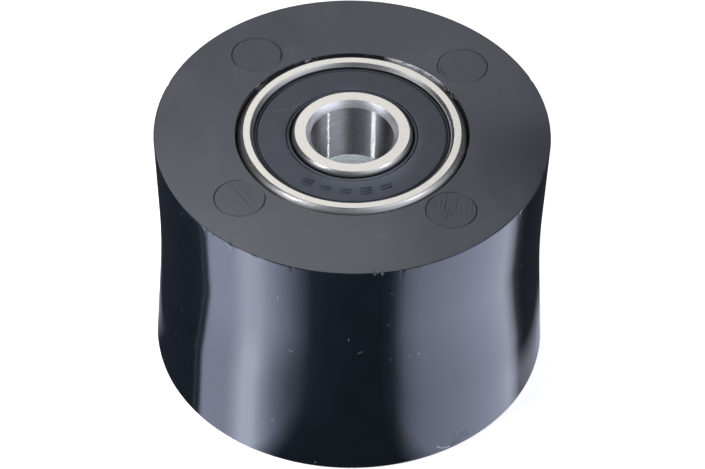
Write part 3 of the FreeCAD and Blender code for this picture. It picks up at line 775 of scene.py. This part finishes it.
def eased(outer, inner, bulge, steps):
    """A shallow arc between two points of a section, standing out by bulge at its middle."""
    (r0, z0), (r1, z1) = outer, inner
    chord = math.hypot(r1 - r0, z1 - z0)
    radius = chord * chord / (8 * bulge) + bulge / 2
    out = ((z1 - z0) / chord, -(r1 - r0) / chord)
    centre = ((r0 + r1) / 2 - out[0] * (radius - bulge), (z0 + z1) / 2 - out[1] * (radius - bulge))
    start = math.degrees(math.atan2(z0 - centre[1], r0 - centre[0]))
    end = math.degrees(math.atan2(z1 - centre[1], r1 - centre[0]))
    return arc(*centre, radius, start, end, steps)


def outer_ring_rows():
    """Upper half of an outer ring, from its outside to the bottom of its raceway."""
    top = HALF_RING
    rows = eased((RING_OUT, top - 0.6), (RING_OUT - 0.57, top), 0.07, 10)
    rows += [(10.3, top), (10.05, top), (9.84, top)]
    rows += arc(9.79, top - 0.05, 0.05, 90, 150, 3)
    rows += [(9.62, 3.3), (9.52, 3.18)] + arc(9.5, 3.14, 0.04, 150, 230, 3)
    rows += [(9.5, 3.0), (9.5, 2.72), (9.5, 2.42), (8.95, 2.42)]
    return rows + arc(PITCH + BALL + PLAY - RACE, 0, RACE, 42.2, 0, 8)[:-1]


def inner_ring_rows(lead):
    """Upper half of an inner ring, from its bore to its raceway; lead is its chamfer's depth."""
    top = HALF_RING
    rows = eased((BORE + CHAMFER_RUN * lead, top), (BORE, top - lead), 0.05 * lead, 9)[::-1]
    rows += [(4.5, top), (4.8, top), (5.2, top), (5.42, top)]
    rows += eased((5.8, top - 0.42), (5.5, top), 0.05, 8)[::-1]
    rows += [(5.82, 2.9), (5.82, 2.42), (6.05, 2.3)]
    return rows + arc(PITCH - BALL - PLAY + RACE, 0, RACE, 137.8, 180, 8)[:-1]


def seal_rows():
    """Section of a seal: lip with its bead, flat rubber face, and the bead that sits in the outer ring."""
    rows = [(6.0, 2.55), (6.0, 2.7), (6.0, 2.9), (6.01, 2.98), (6.035, 3.04), (6.08, 3.08), (6.13, 3.09)]
    rows += [(6.18, 3.08), (6.215, 3.05), (6.235, 2.98), (6.245, 2.86), (6.3, 2.84), (6.315, 2.93)]
    rows += [(6.33, 3.0), (6.36, 3.04), (6.42, 3.05), (6.9, 3.05), (7.5, 3.05), (8.2, 3.05), (8.8, 3.05)]
    rows += [(8.98, 3.05), (9.02, 3.04), (9.04, 3.01), (9.05, 2.85), (9.13, 2.83), (9.15, 2.93), (9.17, 3.0)]
    rows += [(9.2, 3.035), (9.24, 3.035), (9.27, 3.0), (9.29, 2.93), (9.3, 2.75), (9.42, 2.74), (9.45, 2.8)]
    rows += [(9.49, 2.8), (9.49, 2.45), (9.2, 2.42), (9.2, 2.6), (6.3, 2.6), (6.3, 2.5), (6.12, 2.5)]
    return rows


def ridge(shape, centre, length, width, height, turn, base):
    """A low raised bar with rounded flanks, standing on height base; turn is its direction in the plane."""
    n, rings = 20, [(1.0, -0.06), (1.0, 0.0), (0.94, 0.6), (0.82, 0.9), (0.6, 1.0)]
    c, s = math.cos(turn), math.sin(turn)
    verts = []
    for grow, rise in rings:
        for t in circle(n):
            half = width / 2 * grow
            u = math.copysign(length / 2 - width / 2, math.cos(t)) + half * math.cos(t)
            v = half * math.sin(t)
            z = base + (rise * height if rise > 0 else rise)
            verts.append((centre[0] + u * c - v * s, centre[1] + u * s + v * c, z))
    faces = [(i * n + k, i * n + (k + 1) % n, (i + 1) * n + (k + 1) % n, (i + 1) * n + k)
             for i in range(len(rings) - 1) for k in range(n)]
    faces += [tuple(range((len(rings) - 1) * n, len(rings) * n)), tuple(reversed(range(n)))]
    shape.add(verts, faces)


def seal_marks(shape):
    """A plain row of raised bars in place of a moulded size mark."""
    groups = [(-123.0, 3), (-108.5, 2), (-94.5, 2), (-79.5, 3), (-65.0, 2)]  # direction in degrees, and bars
    middle, apart, length, width, height, base = 7.72, 0.36, 1.1, 0.17, 0.16, 3.045
    for degrees, bars in groups:
        a = math.radians(degrees)
        for i in range(bars):
            reach = middle + (i - (bars - 1) / 2) * apart
            place = (reach * math.cos(a), reach * math.sin(a))
            ridge(shape, place, length, width, height, a + math.pi / 2, base)


def inner_ring_slot(verts):
    """The material of an inner ring's face: the bore's and the chamfers' own finish, or ground steel."""
    reach = max(math.hypot(x, y) for x, y, _ in verts)
    if reach < BORE + 0.005:
        return 1
    return 2 if reach < BORE + CHAMFER_RUN * CHAMFER + 0.003 else 0


def make_bearing(name, side):
    """One bearing's visible pieces, on the upper (1) or the lower (-1) side."""
    around = circle(360)
    outer = outer_ring_rows()
    inner = inner_ring_rows(CHAMFER) + mirror(inner_ring_rows(INBOARD_CHAMFER))
    parts = [
        ("outer_ring", outer + mirror(outer), "roller", "ring_steel", RING_STEEL),
        ("inner_ring", inner, "hub", "ring_steel", RING_STEEL),
        ("outboard_seal", seal_rows(), "roller", "seal_rubber", RUBBER),
    ]
    for part, rows, body, slot, material in parts:
        shape = Shape()
        shape.lathe(rows, around, closed=True)
        materials = [material]
        if part == "inner_ring":
            materials += [BORE_STEEL, CHAMFER_STEEL]
            shape.slots = [inner_ring_slot([shape.verts[i] for i in face]) for face in shape.faces]
        piece = shape.build(f"{name}_{part}_fine", materials, sharp=50 if "seal" in part else 16)
        settle(piece, side)
        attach(piece, body)
        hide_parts(f"{name}_{part}")
    shape = Shape()
    seal_marks(shape)
    piece = shape.build(f"{name}_seal_bars", [RUBBER], sharp=50)
    settle(piece, side)
    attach(piece, "roller")


def make_sleeve():
    """Zinc-plated tube with turned ends and a faint seam down its bore."""
    end, out, bore = SLEEVE_END, SLEEVE_OUT, SLEEVE_BORE
    rows = [(out, 0), (out, 3), (out, end - 0.2), (out - 0.04, end - 0.1), (out - 0.12, end - 0.03)]
    rows += [(out - 0.2, end), (4.95, end), (4.6, end), (bore + 0.2, end), (bore + 0.1, end - 0.05)]
    rows += [(bore + 0.02, end - 0.14), (bore, end - 0.22), (bore, end - 0.6), (bore, 3)]
    rows += [(bore, 0)] + mirror(rows[1:])

    def seam(r, z, a):
        if r > 4.5:
            return 0, 0
        apart = (a - math.radians(78) + math.pi) % TAU - math.pi
        return 0.03 * bump(apart * bore, 0.07), 0

    shape = Shape()
    shape.lathe(rows, circle(360), closed=True, shift=seam)
    piece = shape.build("spacer_sleeve_fine", [ZINC], sharp=32)
    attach(piece, "hub")
    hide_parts("spacer_sleeve")


def dress_hidden_parts():
    """The CAD nodes that stay: balls, cages, rivets, washers and inboard seals."""
    looks = [("ball", BALL_STEEL), ("cage", CAGE_STEEL), ("washer", WASHER_STEEL), ("inboard_seal", RUBBER)]
    for name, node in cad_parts.items():
        for word, material in looks:
            if word in name:
                node.data.materials.clear()
                node.data.materials.append(material)
                break


make_body()
for bearing, side in (("upper", 1), ("lower", -1)):
    make_bearing(bearing, side)
make_sleeve()
dress_hidden_parts()

# ---------------- studio


def make_floor():
    """A plain pale sheet under the roller. Glossy reflections look past it to the studio's lower lights."""
    half = 1500.0
    shape = Shape()
    corners = [(-half, -half), (half, -half), (half, half), (-half, half)]
    shape.add([(x, y, FLOOR_Z) for x, y in corners], [(0, 1, 2, 3)])
    material, n, shader, at = new_material("floor_paper")
    grain = n.noise(at["mm"], 0.05, 3)
    color = n.mix(grain, (0.87, 0.87, 0.87, 1), (0.89, 0.89, 0.89, 1))
    set_shader(n, shader, Base_Color=color, Roughness=0.8)
    shader.inputs["Emission Color"].default_value = (1, 1, 1, 1)
    shader.inputs["Emission Strength"].default_value = 0.75
    floor = shape.build("floor", [material])
    floor.visible_glossy = False


def make_studio():
    """Light from all round by direction: tall soft boxes left and right, dark between them and behind.
    Below the horizon it is what the side mirrors; the camera itself sees plain white."""
    world = bpy.data.worlds.new("studio")
    bpy.context.scene.world = world
    world.use_nodes = True
    n = Nodes(world.node_tree)
    ray = n.add("ShaderNodeLightPath")
    toward = n.add("ShaderNodeTexCoord").outputs["Generated"]
    x, y, z = n.add("ShaderNodeSeparateXYZ", {0: toward}).outputs
    turn = n.math("ARCTAN2", x, n.times(y, -1.0))  # 0 in front, positive to the right
    share = n.remap(turn, -math.pi, math.pi, 0, 1)

    def by_turn(pairs, full):
        """Levels by direction in degrees, as shares of full."""
        return n.ramp(share, [((degrees + 180) / 360, level / full) for degrees, level in pairs])

    brightest = 8.0  # a ramp holds nothing above 1
    left_edge = [(-180, 0.03), (-112, 0.04), (-103.4, 0.04), (-102.5, 0.42), (-101.6, 0.05), (-98.5, 0.06)]
    left_steep = [(-96, 2.4), (-84, 2.85), (-78, 3.1), (-73, 3.9), (-68, 4.8), (-59, 4.85), (-50, 3.5),
                  (-40, 2.15), (-31, 0.95)]
    left_flat = [(-96, 2.2), (-84, 2.55), (-77, 2.85), (-71, 4.1), (-65, 6.4), (-58, 6.6), (-52, 4.15),
                 (-45, 2.3), (-36, 1.0)]
    right = [(-24, 0.17), (-14, 0.07), (0, 0.05), (20, 0.06), (27, 0.2), (31, 0.75), (36, 1.72), (46, 2.5),
             (60, 2.7), (84, 2.75), (110, 2.6), (117, 1.3), (122, 0.15), (130, 0.04), (180, 0.03)]
    steep = by_turn(left_edge + left_steep + right, brightest)
    flat = by_turn(left_edge + left_flat + right, brightest)
    below = n.mix(n.remap(z, -0.765, -0.7, 0, 1), steep, flat)
    boxes = by_turn([
        (-180, 0.1), (-104, 0.1), (-94, 0.13), (-82, 0.3), (-74, 0.8), (-68, 1.2), (-60, 1.2), (-54, 0.8),
        (-48, 0.4), (-40, 0.25), (-20, 0.2), (0, 0.18), (14, 0.24), (24, 0.5), (38, 0.95), (60, 1.0),
        (72, 1.0), (84, 0.8), (92, 0.6), (102, 0.42), (110, 0.2), (120, 0.1), (180, 0.1)], brightest)
    raised = n.ramp(z, [(0, 0.3), (0.2, 0.6), (0.38, 1.0), (0.9, 1.0), (1.0, 0.5)])
    above = n.mix(raised, (0.01, 0.01, 0.01, 1), boxes)
    upper = n.remap(z, -0.02, 0.02, 0, 1)
    warm = by_turn([(-78, 0), (-66, 1), (-56, 1), (-46, 0), (92, 0), (104, 1)], 1)
    hue = n.mix(warm, (0.83, 0.9, 1.22, 1), (0.845, 0.91, 1.13, 1))
    tint = n.mix(upper, hue, (0.94, 0.97, 1.08, 1))
    light = n.vector("MULTIPLY", n.mix(upper, below, above), tint)
    studio = n.add("ShaderNodeBackground", {"Color": light, "Strength": brightest})
    pale = n.add("ShaderNodeBackground", {"Color": (0.97, 0.97, 0.97, 1), "Strength": 1.0})
    seen = ray.outputs["Is Camera Ray"]
    shown = n.add("ShaderNodeMixShader", {0: seen, 1: studio.outputs[0], 2: pale.outputs[0]})
    out = n.add("ShaderNodeOutputWorld")
    n.tree.links.new(shown.outputs[0], out.inputs["Surface"])


def add_lamp(name, kind, matrix, unseen, **settings):
    """A lamp with its settings; unseen lists the kinds of ray that don't meet it."""
    lamp = bpy.data.lights.new(name, kind)
    for key, value in settings.items():
        setattr(lamp, key, value)
    holder = bpy.data.objects.new(name, lamp)
    holder.matrix_world = matrix
    for way in unseen:
        setattr(holder, "visible_" + way, False)
    bpy.context.scene.collection.objects.link(holder)


def panel(name, matrix, unseen, wide, tall, radiance, color=(1, 1, 1)):
    """A rectangular area lamp of an even radiance, sizes in m."""
    add_lamp(name, "AREA", matrix, unseen, shape="RECTANGLE", size=wide, size_y=tall, color=color,
             energy=radiance * math.pi * wide * tall)


def framed(place, x_axis, y_axis, z_axis):
    """A place with the axes of a lamp or camera, which looks along -z_axis."""
    return Matrix.Translation(place) @ Matrix((x_axis, y_axis, z_axis)).transposed().to_4x4()


def aimed(place, target):
    """A place for a lamp that shines at a target."""
    return Matrix.Translation(place) @ (place - target).to_track_quat("Z", "Y").to_matrix().to_4x4()


def make_back_light():
    """A large soft box behind and above, reaching further to the left than to the right."""
    up, reach, shift = math.radians(51), 0.36, Vector((-0.11, 0, 0))
    back = Vector((0, math.cos(up), math.sin(up)))
    lift = Vector((0, -math.sin(up), math.cos(up)))
    place = framed(back * reach + shift, Vector((-1, 0, 0)), lift, back)
    panel("back_box", place, ["camera"], 0.3, 0.3, 1.06, (1.02, 1.0, 0.97))


def make_side_lamp():
    """A small soft lamp close to the near left edge, which only brightens matt surfaces."""
    place = aimed(Vector((-42, -42, 45)) * MM, Vector())
    add_lamp("side_lamp", "AREA", place, ["camera", "glossy"], shape="DISK", size=0.03, energy=0.04)


def make_glints():
    """A small bright lamp on each side, seen only in gloss: the bores draw it out into a streak."""
    tall, reach, up = 0.035, 0.3, math.radians(47)
    for name, degrees, wide, radiance in (("left_glint", -62.5, 0.046, 14), ("right_glint", 71.7, 0.014, 21)):
        side = math.radians(degrees)
        back = Vector((math.sin(side) * math.cos(up), -math.cos(side) * math.cos(up), math.sin(up)))
        across = Vector((math.cos(side), math.sin(side), 0))
        place = framed(back * reach, across, back.cross(across), back)
        panel(name, place, ["camera", "diffuse"], wide, tall, radiance)


def make_bore_lamp():
    """A narrow lamp that looks down through the bore, and only brightens the matt zinc of the sleeve."""
    place, target = Vector((6, -42, 78)) * MM, Vector((0, 3.2, 6.5)) * MM
    add_lamp("bore_lamp", "SPOT", aimed(place, target), ["camera", "glossy"], spot_size=math.radians(7.5),
             spot_blend=0.3, shadow_soft_size=0.002, energy=0.5)


def card(name, corners, rows, color, blocks):
    """A flat shape on the floor that only glossy reflections show; it either blocks or only adds light.
    Each row is an axis and where along it the card is empty and full."""
    shape = Shape()
    shape.add([(x, y, FLOOR_Z + 0.03) for x, y in corners], [tuple(range(len(corners)))])
    material, n, shader, at = new_material(name)
    cover = 1.0
    for axis, empty, full in rows:
        cover = n.times(n.remap(at[axis], empty, full, 0, 1), cover)
    clear = n.add("ShaderNodeBsdfTransparent")
    if blocks:
        glow = n.add("ShaderNodeEmission", {"Color": (*color, 1), "Strength": 1.0})
        set_surface(n, n.add("ShaderNodeMixShader", {0: cover, 1: clear.outputs[0], 2: glow.outputs[0]}))
    else:
        glow = n.add("ShaderNodeEmission", {"Color": (*color, 1), "Strength": cover})
        set_surface(n, n.add("ShaderNodeAddShader", {0: clear.outputs[0], 1: glow.outputs[0]}))
    piece = shape.build(name, [material])
    for way in ("camera", "diffuse", "transmission", "volume_scatter", "shadow"):
        setattr(piece, "visible_" + way, False)


def make_cards():
    """What the roller's foot mirrors: its own shade in front, and the lit floor close to its sides."""
    card("foot_shade", [(-12.5, -30), (10.5, -30), (8.4, -16), (-10, -16)],
         [("x", -9.9, -7.0), ("x", 9.0, 5.6), ("y", -29, -23)], (0.05, 0.055, 0.07), True)
    card("foot_glow_right", [(16, -12), (25, -12), (25, 8), (16, 8)],
         [("x", 22.4, 19.6), ("y", -11.5, -7.0), ("y", 7.0, 2.0)], (0.5, 0.52, 0.64), False)
    card("foot_glow_left", [(-16, -6), (-24, -6), (-24, 16), (-16, 16)],
         [("x", -21.4, -19.8), ("y", -2.0, 2.5), ("y", 15.0, 9.0)], (0.34, 0.36, 0.44), False)


def make_camera():
    """A long lens, a little above 44 degrees up, turned a degree about its own axis."""
    reach, up, roll = 481.3, math.radians(44.66), 0.0168
    aim = Vector((0.19, 0, -0.32))
    back = Vector((0, -math.cos(up), math.sin(up)))
    lift = Vector((0, math.sin(up), math.cos(up)))
    side = Vector((1, 0, 0))
    x_axis = side * math.cos(roll) + lift * math.sin(roll)
    y_axis = lift * math.cos(roll) - side * math.sin(roll)
    lens = bpy.data.cameras.new("camera")
    lens.sensor_width = 36
    lens.lens = 252.1
    lens.clip_end = 10
    camera = bpy.data.objects.new("camera", lens)
    camera.matrix_world = framed((aim + back * reach) * MM, x_axis, y_axis, back)
    bpy.context.scene.collection.objects.link(camera)
    bpy.context.scene.camera = camera
    bpy.context.scene.view_settings.view_transform = "Standard"


make_floor()
make_studio()
make_back_light()
make_side_lamp()
make_glints()
make_bore_lamp()
make_cards()
make_camera()
